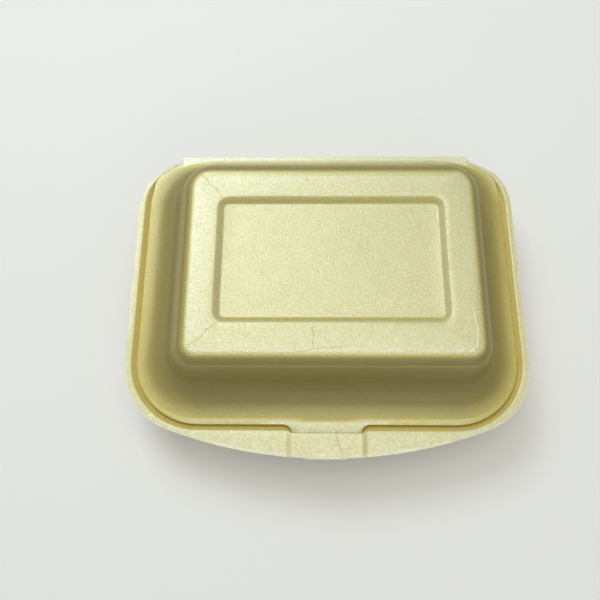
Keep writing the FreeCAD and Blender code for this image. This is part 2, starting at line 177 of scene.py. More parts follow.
# Stops of the tint value: cut white, level foam, gold and olive. Deeper values hold the stretched
# foam's tone and painted shade together; some paler ones are painted highlights.
PALE, LEVEL, GOLD, OLIVE = 0.0, 0.2, 0.55, 1.0
STRIP_TURN = 11.0
LIP_END_TURN = 11.6
TONGUE_MARGIN = 0.08 * MM
SLIT_END = 20.3 * MM
SLIT_HALF = 19.9 * MM
TAB_HALF = 11.4
TAB_FOOT = 12.2
TAB_STEP = 0.4 * MM
TAB_SHIFT = 0.45 * MM
BAND_TOP = 20.3
BAND_FOOT = 22.9
BAND_EDGE = 23.3
BAND_MIDDLE = 21.5
NEAR_TONGUE = (33.0, 25.7, 25.2, BAND_EDGE, BAND_FOOT, BAND_MIDDLE, BAND_TOP, 19.8, 16.0,
               TAB_FOOT, TAB_HALF, 6.0)
CLOSED_TURN, OPEN_TURN = 50.0, 76.0
PALE_END_TURN = 32.0
LIP_SLOPE = math.radians(43)
CROWN_LEAN = math.radians(35)
BORDER_LEAN = math.radians(49)
LEDGE_WIDTH = 0.7 * MM
ROUND_OFF = 0.55 * MM
TONGUE_STRETCH = 0.14
BAND_SHADE = 0.15
FOLD_REACH = 0.2 * MM
HOOK_DROP, HOOK_LENGTH, HOOK_SUNK = 5 * MM, 1.4 * MM, 0.6 * MM
SLIT_LENGTH, SLIT_DROP, SLIT_RISE = 2.2 * MM, 9 * MM, 0.4 * MM
EDGE_ROUND, HOOK_ROUND = 0.32 * MM, 0.4 * MM


def grown(outline, by):
    return Outline(outline.half + by, outline.back - by, outline.front + by,
                   max(outline.back_corner + by, LEAST_CORNER),
                   max(outline.front_corner + by, LEAST_CORNER))


def between(first, second, share):
    return Outline(*[a + (b - a) * share for a, b in zip(first, second)])


def stations():
    """Places round the box, from the middle of the back by the left side and back again."""
    half = [("back", step / 9) for step in range(9)]
    half += [("back corner", turn)
             for turn in (0, 5.5, 10.3, STRIP_TURN, LIP_END_TURN, *range(19, 83, 7), 90)]
    half += [("side", step / 15) for step in range(1, 15)]
    half += [("front corner", 90 * step / 15) for step in range(16)]
    half += [("front", step / 7) for step in range(1, 7)]
    half += [("near tongue", across) for across in NEAR_TONGUE]
    left = [Station(kind, at, -1) for kind, at in half]
    right = [Station(kind, at, 1) for kind, at in reversed(half)]
    return left + [Station("near tongue", 0.0, 1)] + right


def on_outline(outline, station):
    """Distance across and reach of a station on a rounded outline."""
    kind, at, side = station
    if kind == "back":
        return side * at * (outline.half - outline.back_corner), outline.back
    if kind == "back corner":
        turn = math.radians(at)
        return (side * (outline.half - outline.back_corner * (1 - math.sin(turn))),
                outline.back + outline.back_corner * (1 - math.cos(turn)))
    if kind == "side":
        start = outline.back + outline.back_corner
        return side * outline.half, start + at * (outline.front - outline.front_corner - start)
    if kind == "front corner":
        turn = math.radians(at)
        return (side * (outline.half - outline.front_corner * (1 - math.cos(turn))),
                outline.front - outline.front_corner * (1 - math.sin(turn)))
    if kind == "front":
        start = outline.half - outline.front_corner
        return side * (start + at * (NEAR_TONGUE[0] * MM - start)), outline.front
    return side * at * MM, outline.front


def arc_reach(outline, across):
    """Reach of an outline's back corner at a distance across."""
    beyond = across - (outline.half - outline.back_corner)
    return outline.back + outline.back_corner - math.sqrt(outline.back_corner ** 2 - beyond ** 2)


def closed_share(station):
    """1 at the back corners, where flange and lip touch, falling to 0 where the groove opens."""
    if station.kind != "back corner":
        return 0.0
    share = min(max((OPEN_TURN - station.at) / (OPEN_TURN - CLOSED_TURN), 0.0), 1.0)
    return share * share * (3 - 2 * share)


def back_share(station):
    """1 along the back, falling to 0 round the back corners."""
    if station.kind == "back":
        return 1.0
    if station.kind == "back corner":
        return min(max((PALE_END_TURN - station.at) / (PALE_END_TURN - STRIP_TURN), 0.0), 1.0)
    return 0.0


def corner_share(station):
    """1 in the middle of a back corner, falling to 0 at its ends."""
    return math.sin(2 * math.radians(station.at)) if station.kind == "back corner" else 0.0


def front_share(station):
    """1 along the front, falling to 0 round the front corners."""
    shares = {"front": 1.0, "near tongue": 1.0, "front corner": (station.at / 90) ** 2}
    return shares.get(station.kind, 0.0)


def side_share(station):
    """1 along both sides, falling to 0 round their corners."""
    shares = {"side": 1.0, "back corner": station.at / 90, "front corner": 1 - station.at / 90}
    return shares.get(station.kind, 0.0)


def left_share(station):
    """1 along the left side, falling to 0 round its corners."""
    return side_share(station) if station.side < 0 else 0.0


def flange_top():
    """Height of the lid's flange and of the tray's raised rim, which lie level."""
    sizes = box_sizes()
    return PARTING_Z + sizes.flange_gap / 2 + sizes.sheet


def lip_run():
    """Run of the lip's sloping inner face."""
    sizes = box_sizes()
    return (sizes.flange_gap + sizes.sheet) * math.tan(LIP_SLOPE)


def wall_foot():
    sizes = box_sizes()
    return Outline(sizes.wall_half, sizes.wall_back, sizes.wall_front,
                   sizes.wall_back_corner, sizes.wall_front_corner)


def bend_share():
    """Share of a bend's radius between its end and the corner that it rounds, at the walls."""
    return math.tan(math.radians(45) - box_sizes().wall_lean / 2)


def flare_end():
    """Where the flanges' flat part ends and the bend to the walls begins."""
    return grown(wall_foot(), box_sizes().flare * bend_share())


def lid_edge_outline():
    sizes = box_sizes()
    return Outline(sizes.lid_half, sizes.lid_back, sizes.lid_front,
                   sizes.lid_back_corner, sizes.lid_front_corner)


def rim_outline():
    sizes = box_sizes()
    return Outline(sizes.rim_half, sizes.rim_back, sizes.rim_front,
                   sizes.rim_back_corner, sizes.rim_front_corner)


def is_strip(station):
    return station.kind == "back" or (station.kind == "back corner" and station.at <= STRIP_TURN)


def strip_across(station, half):
    """Distance across on the fold strip, in step with the flare's outline in front of it."""
    inner = flare_end()
    widest = on_outline(inner, Station("back corner", STRIP_TURN, 1))[0]
    return on_outline(inner, station)[0] * half / widest


def notch_share(station, root, tip):
    """1 along the tongue's straight end, falling to 0 at its root on a hollow quarter bend."""
    if station.kind != "near tongue":
        return 0.0
    inwards = min(max((root - station.at * MM) / (root - tip), 0.0), 1.0)
    return 1 - math.sqrt(1 - inwards * inwards)


# Mesh building


def select_only(piece):
    bpy.ops.object.select_all(action="DESELECT")
    piece.select_set(True)
    bpy.context.view_layer.objects.active = piece


def apply_modifier(piece, kind, **settings):
    select_only(piece)
    modifier = piece.modifiers.new(kind.title(), kind)
    for name, value in settings.items():
        setattr(modifier, name, value)
    bpy.ops.object.modifier_apply(modifier=modifier.name)


def formed_skin(name, rings):
    """Sheet of rings round the box. A ring gives (across, reach, height, tint) of a station; the
    tint value holds the stretched foam's tone together with painted shade and painted highlights.
    """
    places = stations()
    bpy.ops.object.select_all(action="DESELECT")
    bpy.ops.mesh.primitive_grid_add(x_subdivisions=len(places) - 1, y_subdivisions=len(rings) - 1,
                                    size=0.2, location=(0, 0, 0))
    piece = bpy.context.object
    piece.name = name
    mesh = piece.data
    mesh.name = name
    # Tint value a vertex: the stretched foam's own tone, with painted shade and painted highlights
    # laid into the colour.
    stretch = mesh.attributes.new("stretch", "FLOAT", "POINT")
    for row, ring in enumerate(rings):
        for column, station in enumerate(places):
            index = row * len(places) + column
            across, reach, height, tightness_and_shade = ring(station)
            mesh.vertices[index].co = (across, FOLD_Y - reach, height)
            stretch.data[index].value = tightness_and_shade
    select_only(piece)
    bpy.ops.object.mode_set(mode="EDIT")
    bpy.ops.mesh.select_all(action="SELECT")
    bpy.ops.mesh.remove_doubles(threshold=0.004 * MM)
    bpy.ops.mesh.normals_make_consistent(inside=False)
    bpy.ops.object.mode_set(mode="OBJECT")
    if sum(face.normal.z * face.area for face in mesh.polygons) < 0:
        mesh.flip_normals()
    return piece


def thicken(piece):
    """Give the skin the sheet's thickness below it, with its cut rim in the second material."""
    apply_modifier(piece, "SOLIDIFY", thickness=box_sizes().sheet, offset=-1.0,
                   use_even_offset=False, use_quality_normals=True, material_offset_rim=1)


def soften_edges(piece, width, angle=55):
    apply_modifier(piece, "BEVEL", width=width, segments=2, limit_method="ANGLE",
                   angle_limit=math.radians(angle), use_clamp_overlap=True, harden_normals=False)
    select_only(piece)
    bpy.ops.object.shade_smooth_by_angle(angle=math.radians(40))


def block(name, low, high):
    """Block between two corners, its place in its mesh."""
    bpy.ops.object.select_all(action="DESELECT")
    bpy.ops.mesh.primitive_cube_add(size=1, location=(0, 0, 0))
    piece = bpy.context.object
    piece.name = name
    middle = [(a + b) / 2 for a, b in zip(low, high)]
    extent = [b - a for a, b in zip(low, high)]
    piece.data.transform(Matrix.Translation(middle) @ Matrix.Diagonal((*extent, 1)))
    return piece


def sagged(across, reach, amount):
    """Slow unevenness of the formed sheet, the same on every run."""
    return amount * noise.noise(Vector((across * 28, reach * 28, 0.7)))


def plain_ring(outline, height, stretch, lean=0.0, sag=0.0):
    def ring(station):
        across, reach = on_outline(outline, station)
        tightness_and_shade = stretch(station) if callable(stretch) else stretch
        return across + lean, reach, height + sagged(across, reach, sag), tightness_and_shade
    return ring


def bend_steps(count, total):
    return [total * step / count for step in range(1, count + 1)]


# Lid


def lid_rings():
    sizes = box_sizes()
    top_of_flange = flange_top()
    edge, inner = lid_edge_outline(), flare_end()
    foot = wall_foot()
    plateau = PARTING_Z + sizes.lid_rise
    ledge_height = plateau - sizes.crown_rise

    def lean(height):
        return sizes.top_shift * max(0.0, (height - top_of_flange) / (plateau - top_of_flange))

    def flange(set_in, strip_reach, tint):
        def ring(station):
            close = closed_share(station) * (lip_run() + sizes.seat_gap - TOUCH_GAP)
            outline = grown(edge, close - set_in)
            across, reach = on_outline(outline, station)
            if is_strip(station):
                across, reach = strip_across(station, sizes.strip_half), strip_reach
            elif station.kind == "back corner" and station.at == LIP_END_TURN:
                across = station.side * sizes.strip_half
                reach = arc_reach(outline, sizes.strip_half)
            elif set_in == 0:
                share = notch_share(station, sizes.tongue_root, sizes.tongue_tip)
                reach += share * (sizes.tongue_reach - sizes.lid_front)
            if station.kind == "near tongue":
                return across, reach, top_of_flange, TONGUE_STRETCH
            # Edge tint paler along the front as a painted highlight on the flange's edge, deeper
            # along the sides, paler in the back corners.
            beside = tint + 0.2 * (1 - front_share(station)) - 0.35 * corner_share(station)
            return across, reach, top_of_flange, paler_back(beside, 1.0)(station)
        return ring

    def paler_back(stretch, share):
        return lambda station: stretch + (0.03 - stretch) * back_share(station) * share

    def bent(share):
        """Tint on the flare from its start (0) to the wall (1): the stretched tone with painted
        shade, deeper at the front, the back and the back corners, less at the sides, and paler at
        its start along the back.
        """
        def stretch(station):
            front, back = front_share(station), max(back_share(station), corner_share(station))
            start = 0.7 + 0.22 * front + 0.2 * back
            reached = share ** (0.55 + 0.35 * front)
            return paler_back(start + (OLIVE - start) * reached, (1 - share) ** 3)(station)
        return stretch

    rings = [flange(0.0, FOLD_REACH, 0.28), flange(0.7 * MM, 1.0 * MM, 0.38)]
    land = plain_ring(inner, top_of_flange, bent(0.0))
    rings.append(front_tinted(blended_strip(rings[1], land, 0.3), 0.36, 0.78))
    rings.append(front_tinted(blended_strip(rings[1], land, 0.44), 0.74, 0.84))
    rings.append(land)
    turn_end = math.radians(90) - sizes.wall_lean
    for turn in bend_steps(8, turn_end):
        height = top_of_flange + sizes.flare * (1 - math.cos(turn))
        rings.append(plain_ring(grown(inner, -sizes.flare * math.sin(turn)), height,
                                bent(turn / turn_end), lean(height)))
    bend_top = top_of_flange + sizes.flare * (1 - math.cos(turn_end))
    slope = math.tan(sizes.wall_lean)
    # Walls in olive: the stretched foam's own tone with painted shade.
    for share in (0.25, 0.5, 0.75, 0.936):
        height = bend_top + share * (ledge_height - bend_top)
        rings.append(plain_ring(grown(foot, -(height - top_of_flange) * slope), height,
                                OLIVE, lean(height)))
    ledge = grown(foot, -(ledge_height - top_of_flange) * slope)
    crown = grown(ledge, -LEDGE_WIDTH)
    for set_in, rise, tightness_and_shade in ((0.15, -0.35, 0.85), (0.7, 0.2, 0.8)):
        rings.append(plain_ring(grown(ledge, -set_in * MM), ledge_height + rise * MM, tightness_and_shade,
                                lean(plateau)))
    crown_turn = math.radians(90) - CROWN_LEAN
    side = sizes.crown_rise / math.cos(CROWN_LEAN)
    tangent = sizes.crown_radius * math.tan(crown_turn / 2)
    straight = side - tangent
    start_in = straight * math.sin(CROWN_LEAN)
    start_up = straight * math.cos(CROWN_LEAN)
    for turn, ridge_shade in zip([0.0] + bend_steps(7, crown_turn), LEFT_RIDGE_SHADES):
        heading = crown_turn - turn
        run = sizes.crown_radius * (math.sin(crown_turn) - math.sin(heading))
        rise = sizes.crown_radius * (math.cos(heading) - math.cos(crown_turn))
        rings.append(plain_ring(grown(crown, -(start_in + run)), ledge_height + start_up + rise,
                                crown_tone_and_shade(turn / crown_turn, ridge_shade), lean(plateau)))
    top_edge = grown(crown, -(start_in + sizes.crown_radius * math.sin(crown_turn)))
    panel = Outline(sizes.panel_half, sizes.panel_back, sizes.panel_front,
                    sizes.panel_corner, sizes.panel_corner)
    for share in (0.2, 0.4, 0.6, 0.8):
        rings.append(plain_ring(between(top_edge, grown(panel, ROUND_OFF), share), plateau,
                                painted_gloss_edge(share), lean(plateau), sizes.sag))
    rings.append(plain_ring(grown(panel, ROUND_OFF), plateau, LEVEL, lean(plateau),
                            sizes.sag * 0.5))
    run = sizes.panel_depth * math.tan(BORDER_LEAN)
    for down, run_in, tightness_and_shade in ((0.05, 0.0, 0.22), (0.22, 0.18, 0.34), (0.5, 0.5, 0.45),
                                (0.8, 0.82, 0.46), (0.96, 1.0, 0.28)):
        rings.append(plain_ring(grown(panel, -run * run_in), plateau - sizes.panel_depth * down,
                                panel_border(tightness_and_shade), lean(plateau)))
    floor_height = plateau - sizes.panel_depth
    floor = grown(panel, -run - ROUND_OFF)
    rings.append(plain_ring(floor, floor_height, LEVEL, lean(plateau), sizes.sag * 0.3))
    for share in (0.12, 0.3, 0.5, 0.7, 0.86, 1.0):
        rings.append(shrunk_ring(floor, share, floor_height, lean(plateau), sizes.sag))
    return rings


# Painted light and shade, ring by ring, for the small folds down the crown's left side.
LEFT_RIDGE_SHADES = (1.0, 0.8, 0.97, 1.0, 0.75, 0.8, 0.5, 0.12)


def crown_tone_and_shade(climb, ridge_shade):
    """Tint on the crown's rounding, from its foot (0) to the plateau (1): the olive of the
    stretched tone with painted shade from its foot, held higher up at the back, a painted highlight
    along the top of its front, and painted light and shade lines down its left side.
    """
    def stretch(station):
        back, left = back_share(station), left_share(station)
        fading = min(max((0.76 + 0.3 * back - climb) / 0.32, 0.0), 1.0)
        painted_gloss = 0.08 * front_share(station) if climb == 1 else 0.0
        round_box = LEVEL + (OLIVE - LEVEL) * fading - painted_gloss
        return round_box + (ridge_shade - round_box) * left
    return stretch


def painted_gloss_edge(share):
    """Tint on the plateau a share of the way inwards, with a painted highlight that is palest at
    its left border and fainter at its back and front borders.
    """
    return lambda station: LEVEL - (1 - share) * (0.1 * left_share(station)
                                                  + 0.09 * back_share(station)
                                                  + 0.05 * front_share(station))


def panel_border(tightness_and_shade):
    """Tint on the sunk panel's border, the stretched tone with painted shade, less at its sides as
    painted light on their shaded slopes.
    """
    return lambda station: tightness_and_shade - 0.55 * (tightness_and_shade - LEVEL) * side_share(station)


def blended_strip(outer_ring, inner_ring, share):
    """Ring at a share of the way from one ring to the next."""
    def ring(station):
        outer, inner = outer_ring(station), inner_ring(station)
        return tuple(a + (b - a) * share for a, b in zip(outer, inner))
    return ring


def front_tinted(ring, beside, behind):
    """Ring with its own tint along the front, beside the tongue and behind it: deeper there, as
    painted shade at the foot of the front wall.
    """
    def moved(station):
        across, reach, height, tightness_and_shade = ring(station)
        deep = beside + (behind - beside) * notch_share(station, box_sizes().tongue_root, 14 * MM)
        return across, reach, height, tightness_and_shade + (deep - tightness_and_shade) * front_share(station)
    return moved


def shrunk_ring(outline, share, height, lean, sag):
    """Ring at a share of the way from an outline to its middle."""
    middle = (outline.back + outline.front) / 2

    def ring(station):
        across, reach = on_outline(outline, station)
        across *= 1 - share
        reach += (middle - reach) * share
        return across + lean, reach, height + sagged(across, reach, sag), LEVEL
    return ring


class FOAMBOX_OT_lid(bpy.types.Operator):
    """Form the lid from one skin of rings, thicken it and add the hook of its tongue"""

    bl_idname = "foam_box.lid"
    bl_label = "Lid"

    def execute(self, context):
        sizes = box_sizes()
        piece = formed_skin("lid_shell", lid_rings())
        piece.data.materials.append(pearl_foam("lid foam", box_colours().gold, lid_creases(),
                                               lid_wrinkles()))
        piece.data.materials.append(cut_foam())
        thicken(piece)
        soften_edges(piece, EDGE_ROUND)
        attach(piece, LID_BODY)
        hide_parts("lid")
        under, front = PARTING_Z + sizes.flange_gap / 2, FOLD_Y - sizes.tongue_reach
        hook = block("tongue_hook",
                     (-sizes.tongue_tip, front, PARTING_Z - HOOK_DROP),
                     (sizes.tongue_tip, front + HOOK_LENGTH, under + HOOK_SUNK))
        hook.data.materials.append(pearl_foam("hook foam", box_colours().gold))
        soften_edges(hook, HOOK_ROUND)
        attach(hook, LID_BODY)
        return {"FINISHED"}


# Tray


def rim_place(station, lip):
    """Place on the rim's outer edge, beside a station of the lip's inner edge."""
    sizes = box_sizes()
    rim = rim_outline()
    bow_reach = sizes.rim_front - sizes.rim_bow
    corner_across = sizes.rim_half - sizes.rim_front_corner
    corner_reach = bow_reach + math.sqrt((sizes.rim_bow - sizes.rim_front_corner) ** 2
                                         - corner_across ** 2)
    if station.kind in ("back", "back corner"):
        across, reach = on_outline(rim, station)
    elif station.kind == "side":
        start = rim.back + rim.back_corner
        across, reach = station.side * rim.half, start + station.at * (corner_reach - start)
    elif station.kind == "front corner":
        turn = math.radians(station.at)
        origin = (lip.half - lip.front_corner, lip.front - lip.front_corner)
        heading = (math.cos(turn), math.sin(turn))
        hit = ray_to_circle(origin, heading, (corner_across, corner_reach), rim.front_corner)
        swing = math.atan2(hit[0] - corner_across, hit[1] - corner_reach)
        if swing < math.atan2(corner_across, corner_reach - bow_reach):
            hit = ray_to_circle(origin, heading, (0.0, bow_reach), sizes.rim_bow)
        across, reach = station.side * min(hit[0], rim.half), hit[1]
    else:
        across = on_outline(lip, station)[0]
        reach = bow_reach + math.sqrt(sizes.rim_bow ** 2 - across ** 2)
        if station.kind == "near tongue" and station.at <= TAB_HALF:
            reach = sizes.rim_front + TAB_STEP
        if station.kind == "near tongue" and station.at <= TAB_FOOT:
            across -= TAB_SHIFT
    return wobbled(across, reach)


def ray_to_circle(origin, heading, centre, radius):
    from_centre = (origin[0] - centre[0], origin[1] - centre[1])
    along = from_centre[0] * heading[0] + from_centre[1] * heading[1]
    beyond = from_centre[0] ** 2 + from_centre[1] ** 2 - radius ** 2
    distance = -along + math.sqrt(along ** 2 - beyond)
    return origin[0] + distance * heading[0], origin[1] + distance * heading[1]


RIM_WAVES = ((-1, 50, 10, 1.0), (-1, 92, 14, -0.9), (-1, 128, 10, 0.6), (-1, 22, 7, -0.6),
             (1, 14, 9, -2.2), (1, 70, 16, 0.1), (1, 136, 8, -0.6), (1, 166, 3.5, -1.2))


def wobbled(across, reach):
    """Slightly uneven hand-worn edge: each wave is (side, reach, spread, push outwards)."""
    push = 0.0
    for side, at, spread, amount in RIM_WAVES:
        if across * side > 0.06:
            push += amount * math.exp(-((reach / MM - at) / spread) ** 2)
    return across + math.copysign(push * box_sizes().wobble, across), reach


def tray_rings():
    sizes = box_sizes()
    seat = PARTING_Z - sizes.flange_gap / 2
    lip_top = flange_top()
    foot = grown(lid_edge_outline(), SHOWN_GAP)
    lip = grown(lid_edge_outline(), sizes.seat_gap + lip_run())
    slope_run = sizes.seat_gap + lip_run() - SHOWN_GAP
    inner = flare_end()
    strip_gap = sizes.strip_half + TOUCH_GAP
    notch_front = sizes.tongue_reach + TONGUE_MARGIN
    notch_root = sizes.tongue_root + TONGUE_MARGIN

    def band(station):
        if station.kind != "near tongue":
            return 0.0
        climb = (BAND_FOOT - station.at) / (BAND_FOOT - BAND_TOP)
        return sizes.band_rise * min(max(climb, 0.0), 1.0)

    def at_strip(station, outline, strip_reach, place, height, stretch):
        """Swap a ring's place for the fold strip, or for the lip's end beside it."""
        if is_strip(station):
            return strip_across(station, sizes.strip_half), strip_reach, seat, PALE
        across, reach = place
        if station.kind == "back corner" and station.at == LIP_END_TURN:
            across = station.side * strip_gap
            reach = arc_reach(outline, strip_gap)
        return across, reach, height, stretch

    # The rim's outer edge takes the palest tint: the cut edge's own pale tone, with a painted
    # highlight along its rounding.
    def rim_ring(station):
        return at_strip(station, rim_outline(), FOLD_REACH, rim_place(station, lip),
                        lip_top + band(station), PALE + painted_band_shade(station))

    def painted_band_shade(station):
        # Painted shade: darker lines on the two slopes of the lip's raised band.
        at_edge = station.kind == "near tongue" and station.at in (BAND_TOP, BAND_FOOT)
        return BAND_SHADE if at_edge else 0.0

    def lip_ring(set_out, drop, strip_reach, stretch, front_gap):
        def ring(station):
            close = closed_share(station)
            outline = grown(lip, set_out * (1 - close) if set_out < 0 else set_out)
            across, reach = on_outline(outline, station)
            share = notch_share(station, notch_root, SLIT_END)
            reach += share * (notch_front + front_gap - reach)
            sharper = 0.8 * share if drop < 1 * MM else 0.0
            height = lip_top - drop * (1 - sharper) + band(station)
            return at_strip(station, outline, strip_reach, (across, reach), height,
                            stretch + painted_band_shade(station) + side_tint(station, stretch))
        return ring

    def side_tint(station, stretch):
        shares = {"side": 1.0, "front corner": 1 - station.at / 90,
                  "back corner": max(0.0, station.at - 45) / 45}
        return 0.5 * (0.4 - stretch) * shares.get(station.kind, 0.0)

    def foot_ring(station):
        outline = grown(foot, closed_share(station) * (slope_run - 0.1 * MM))
        across, reach = on_outline(outline, station)
        reach += notch_share(station, notch_root, SLIT_END) * (notch_front - reach)
        return at_strip(station, outline, 2.4 * MM, (across, reach), seat, 0.7)

    def inside_rim(station):
        across, reach, height, _ = blended_strip(rim_ring, first_lip, 0.2)(station)
        return across, reach, height, 0.15 + painted_band_shade(station)

    # Lip tints deepen down its inner face to the foot: the groove's own gold with painted shade of
    # the gap under the lid's flange.
    first_lip = lip_ring(0.9 * MM, 0.0, 1.6 * MM, 0.17, 0.5 * MM)
    rings = [rim_ring, inside_rim, blended_strip(inside_rim, first_lip, 0.5), first_lip]
    rings.append(lip_ring(0.25 * MM, 0.12 * MM, 1.8 * MM, 0.28, 0.3 * MM))
    rings.append(lip_ring(-0.35 * MM, 0.6 * MM, 2.0 * MM, 0.42, 0.15 * MM))
    rings.append(lip_ring(-1.9 * MM, 2.1 * MM, 2.2 * MM, 0.52, 0.05 * MM))
    rings.append(foot_ring)
    rings.append(blended_strip(foot_ring, plain_ring(inner, seat, 0.3), 0.4))
    rings.append(plain_ring(inner, seat, 0.3))
    inside_bend = sizes.flare + sizes.sheet
    turn_end = math.radians(90) - sizes.wall_lean
    for turn in bend_steps(7, turn_end):
        rings.append(plain_ring(grown(inner, -inside_bend * math.sin(turn)),
                                seat - inside_bend * (1 - math.cos(turn)),
                                0.3 + 0.65 * turn / turn_end))
    wall_top = grown(wall_foot(), -sizes.sheet * bend_share())
    slope = math.tan(sizes.wall_lean)
    floor_height = sizes.sheet
    bottom_bend = sizes.bottom_radius - sizes.sheet
    wall_end = floor_height + bottom_bend * (1 - math.cos(turn_end))
    bend_low = seat - inside_bend * (1 - math.cos(turn_end))
    for share in (0.33, 0.66, 1.0):
        height = bend_low + share * (wall_end - bend_low)
        rings.append(plain_ring(grown(wall_top, -(seat - height) * slope), height, 0.95))
    wall_low = grown(wall_top, -(seat - wall_end) * slope)
    for turn in bend_steps(6, turn_end):
        heading = turn_end - turn
        run = bottom_bend * (math.sin(turn_end) - math.sin(heading))
        drop = bottom_bend * (math.cos(heading) - math.cos(turn_end))
        rings.append(plain_ring(grown(wall_low, -run), wall_end - drop,
                                LEVEL + 0.7 * heading / turn_end))
    floor = grown(wall_low, -bottom_bend * math.sin(turn_end))
    for share in (0.1, 0.25, 0.45, 0.65, 0.85, 1.0):
        rings.append(shrunk_ring(floor, share, floor_height, 0.0, 0.0))
    return rings


class FOAMBOX_OT_tray(bpy.types.Operator):
    """Form the tray from one skin of rings, thicken it and cut the slit for the tongue"""

    bl_idname = "foam_box.tray"
    bl_label = "Tray"

    def execute(self, context):
        sizes = box_sizes()
        piece = formed_skin("tray_shell", tray_rings())
        piece.data.materials.append(pearl_foam("tray foam", box_colours().groove, tray_creases()))
        piece.data.materials.append(cut_foam())
        thicken(piece)
        slit_front = FOLD_Y - sizes.tongue_reach - TONGUE_MARGIN
        slit = block("slit_cutter",
                     (-SLIT_HALF, slit_front, PARTING_Z - SLIT_DROP),
                     (SLIT_HALF, slit_front + SLIT_LENGTH, PARTING_Z + SLIT_RISE))
        apply_modifier(piece, "BOOLEAN", operation="DIFFERENCE", solver="EXACT", object=slit)
        bpy.data.objects.remove(slit)
        soften_edges(piece, EDGE_ROUND)
        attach(piece, TRAY_BODY)
        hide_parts("tray")
        return {"FINISHED"}


# Fold


class FOAMBOX_OT_fold(bpy.types.Operator):
    """Lay the thin pressed skin, curved round the fold line, across the gap between tray and lid"""

    bl_idname = "foam_box.fold"
    bl_label = "Fold"

    def execute(self, context):
        sizes = box_sizes()
        across_steps, round_steps = 60, 8
        bpy.ops.object.select_all(action="DESELECT")
        bpy.ops.mesh.primitive_grid_add(x_subdivisions=across_steps, y_subdivisions=round_steps,
                                        size=0.2, location=(0, 0, 0))
        piece = bpy.context.object
        piece.name = "fold_skin"
        edge, bulge, rise = 0.9 * MM, 0.12 * MM, 0.32 * MM
        for row in range(round_steps + 1):
            turn = math.pi * (row / round_steps - 0.5)
            for column in range(across_steps + 1):
                vertex = piece.data.vertices[row * (across_steps + 1) + column]
                vertex.co = (sizes.strip_half * 0.995 * (2 * column / across_steps - 1),
                             FOLD_Y - edge + (edge + bulge) * math.cos(turn),
                             PARTING_Z + rise * math.sin(turn))
        piece.data.materials.append(pearl_foam("fold foam", box_colours().gold))
        apply_modifier(piece, "SOLIDIFY", thickness=0.3 * MM, offset=0.0)
        select_only(piece)
        bpy.ops.object.shade_smooth_by_angle(angle=math.radians(50))
        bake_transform(piece)
        return {"FINISHED"}


# Materials


def new_group(name, inputs, outputs):
    group = bpy.data.node_groups.new(name, "ShaderNodeTree")
    for label, kind, default in inputs:
        socket = group.interface.new_socket(name=label, in_out="INPUT", socket_type=kind)
        if default is not None:
            socket.default_value = default
    for label, kind in outputs:
        group.interface.new_socket(name=label, in_out="OUTPUT", socket_type=kind)
    return group, group.nodes.new("NodeGroupInput"), group.nodes.new("NodeGroupOutput")


def maths(tree, operation, first, second=None, third=None, clamp=False):
    node = tree.nodes.new("ShaderNodeMath")
    node.operation = operation
    node.use_clamp = clamp
    for index, entry in enumerate((first, second, third)):
        if entry is None:
            continue
        if isinstance(entry, (int, float)):
            node.inputs[index].default_value = entry
        else:
            tree.links.new(entry, node.inputs[index])
    return node.outputs[0]


def vectors(tree, operation, first, second=None, scale=None):
    node = tree.nodes.new("ShaderNodeVectorMath")
    node.operation = operation
    for index, entry in enumerate((first, second)):
        if entry is None:
            continue
        if isinstance(entry, (tuple, list)):
            node.inputs[index].default_value = entry
        else:
            tree.links.new(entry, node.inputs[index])
    if scale is not None:
        tree.links.new(scale, node.inputs["Scale"])
    return node.outputs["Value"] if operation in ("DOT_PRODUCT", "LENGTH", "DISTANCE") \
        else node.outputs["Vector"]


def set_inputs(node, **values):
    for label, value in values.items():
        node.inputs[label.replace("_", " ")].default_value = value


def noise_node(tree, position, detail, roughness=0.5):
    node = tree.nodes.new("ShaderNodeTexNoise")
    set_inputs(node, Detail=detail, Roughness=roughness)
    tree.links.new(position, node.inputs["Vector"])
    return node


def bumped(tree, height, strength, distance, normal=None):
    """Normal bent by a height, which a negative distance presses in."""
    node = tree.nodes.new("ShaderNodeBump")
    node.invert = distance < 0
    set_inputs(node, Strength=strength, Distance=abs(distance))
    tree.links.new(height, node.inputs["Height"])
    if normal is not None:
        tree.links.new(normal, node.inputs["Normal"])
    return node.outputs["Normal"]


def new_material(name):
    """Material with its node tree, its shader and the place on the piece."""
    material = bpy.data.materials.new(name)
    material.use_nodes = True
    tree = material.node_tree
    position = tree.nodes.new("ShaderNodeTexCoord").outputs["Object"]
    return material, tree, tree.nodes["Principled BSDF"], position


